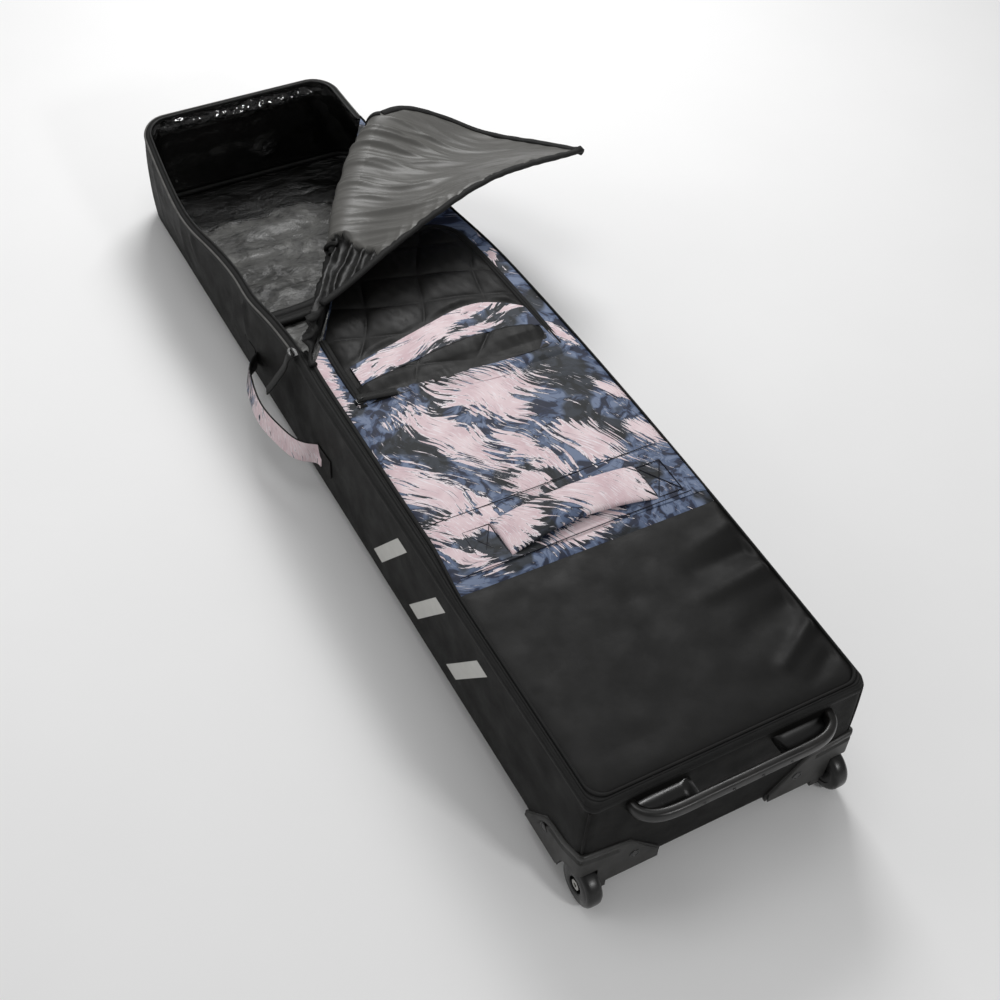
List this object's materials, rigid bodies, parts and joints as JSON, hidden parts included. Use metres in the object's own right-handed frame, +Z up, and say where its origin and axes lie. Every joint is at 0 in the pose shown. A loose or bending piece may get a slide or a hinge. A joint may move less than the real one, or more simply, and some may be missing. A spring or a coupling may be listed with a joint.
{
  "type": "wheeled snowboard bag",
  "caption": "Long wheeled snowboard bag on its back, far end of the lid unzipped and folded back, with carry handles, lid pocket and corner wheels.",
  "frame": {"origin": "centre of the whole part's bounding box in X and Y, on the ground plane under the wheels", "axes": "+X to the bag's right, +Y from the wheel end to the open far end, +Z up out of the lid"},
  "size_m": [0.6932, 1.6424, 0.3044],
  "materials": {
    "black_fabric": "matte woven polyester",
    "print_fabric": "printed woven polyester",
    "gloss_lining": "glossy coated lining",
    "grey_lining": "satin lining",
    "quilted_fabric": "quilted matte fabric",
    "zip_tape": "woven zip tape",
    "webbing": "woven webbing",
    "moulded_plastic": "fine grained moulding",
    "stiffener_plastic": "sheet plastic",
    "foam": "closed cell foam",
    "tyre_rubber": "satin wheel tyre",
    "hub_plastic": "satin",
    "steel": "plated",
    "slider_metal": "black enamel"
  },
  "bodies": {
    "root": {"back_panel": "black_fabric", "near_end_wall": "black_fabric", "far_end_wall": "black_fabric", "base_board": "stiffener_plastic", "floor_pad": "foam", "floor_lining": "gloss_lining", "wall_lining": "gloss_lining", "floor_piping": "gloss_lining", "floor_strap": "webbing", "lid_zip_tape": "zip_tape", "rim_zip_tape": "zip_tape", "lid_black_panel": "black_fabric", "lid_print_panel": "print_fabric", "pocket_door": "quilted_fabric", "pocket_zip_tape": "zip_tape", "pocket_band": "print_fabric", "guard_screws": "steel", "side_handle_tabs": "webbing", "grab_band": "print_fabric", "end_handle": "moulded_plastic", "handle_backing_plate": "stiffener_plastic", "handle_bolts": "steel", "left_side_wall": "black_fabric", "right_side_wall": "black_fabric", "left_axle_bolt": "steel", "right_axle_bolt": "steel", "left_wheel_guard": "moulded_plastic", "right_wheel_guard": "moulded_plastic", "left_skid": "moulded_plastic", "right_skid": "moulded_plastic"},
    "left_wheel": {"left_tyre": "tyre_rubber", "left_wheel_hub": "hub_plastic"},
    "right_wheel": {"right_tyre": "tyre_rubber", "right_wheel_hub": "hub_plastic"},
    "flap": {"lid_flap": "grey_lining", "flap_zip_tape": "zip_tape"},
    "zip_slider": {"main_slider": "slider_metal"},
    "zip_pull": {"main_pull": "webbing"},
    "pocket_zip_slider": {"pocket_slider": "slider_metal"},
    "pocket_zip_pull": {"pocket_pull": "webbing"},
    "carry_loop": {"side_handle": "print_fabric"},
    "grip": {"grab_grip": "print_fabric"}
  },
  "joints": [
    {"name": "left_wheel_spin", "type": "hinge", "parent": "root", "child": "left_wheel", "pos_m": [-0.28161, -0.77773, 0.035], "axis": [1, 0, 0], "continuous": true},
    {"name": "right_wheel_spin", "type": "hinge", "parent": "root", "child": "right_wheel", "pos_m": [0.11839, -0.77773, 0.035], "axis": [1, 0, 0], "continuous": true},
    {"name": "flap_fold", "type": "hinge", "parent": "root", "child": "flap", "pos_m": [-0.27661, 0.12657, 0.2212], "axis": [-0.5758, -0.8174, 0.0179], "range_deg": [0, 168]},
    {"name": "main_zip_slide", "type": "slide", "parent": "root", "child": "zip_slider", "axis": [0, 0.9998, -0.0219], "range_m": [-0.82, 0.62]},
    {"name": "main_pull_swing", "type": "hinge", "parent": "zip_slider", "child": "zip_pull", "pos_m": [-0.29711, 0.12609, 0.19921], "axis": [0, 0.9998, -0.0219], "range_deg": [0, 85]},
    {"name": "pocket_zip_slide", "type": "slide", "parent": "root", "child": "pocket_zip_slider", "axis": [0, 0.9998, -0.0219], "range_m": [0, 0.15]},
    {"name": "pocket_pull_swing", "type": "hinge", "parent": "pocket_zip_slider", "child": "pocket_zip_pull", "pos_m": [-0.23881, -0.02147, 0.22065], "axis": [0, -0.9998, 0.0219], "range_deg": [0, 150]},
    {"name": "side_handle_swing", "type": "hinge", "parent": "root", "child": "carry_loop", "pos_m": [-0.29621, 0.14902, 0.10468], "axis": [0, 0.9998, -0.0219], "range_deg": [0, 75]},
    {"name": "grab_grip_lift", "type": "hinge", "parent": "root", "child": "grip", "pos_m": [-0.06761, -0.31744, 0.22525], "axis": [-1, 0, 0], "range_deg": [0, 90]}
  ]
}
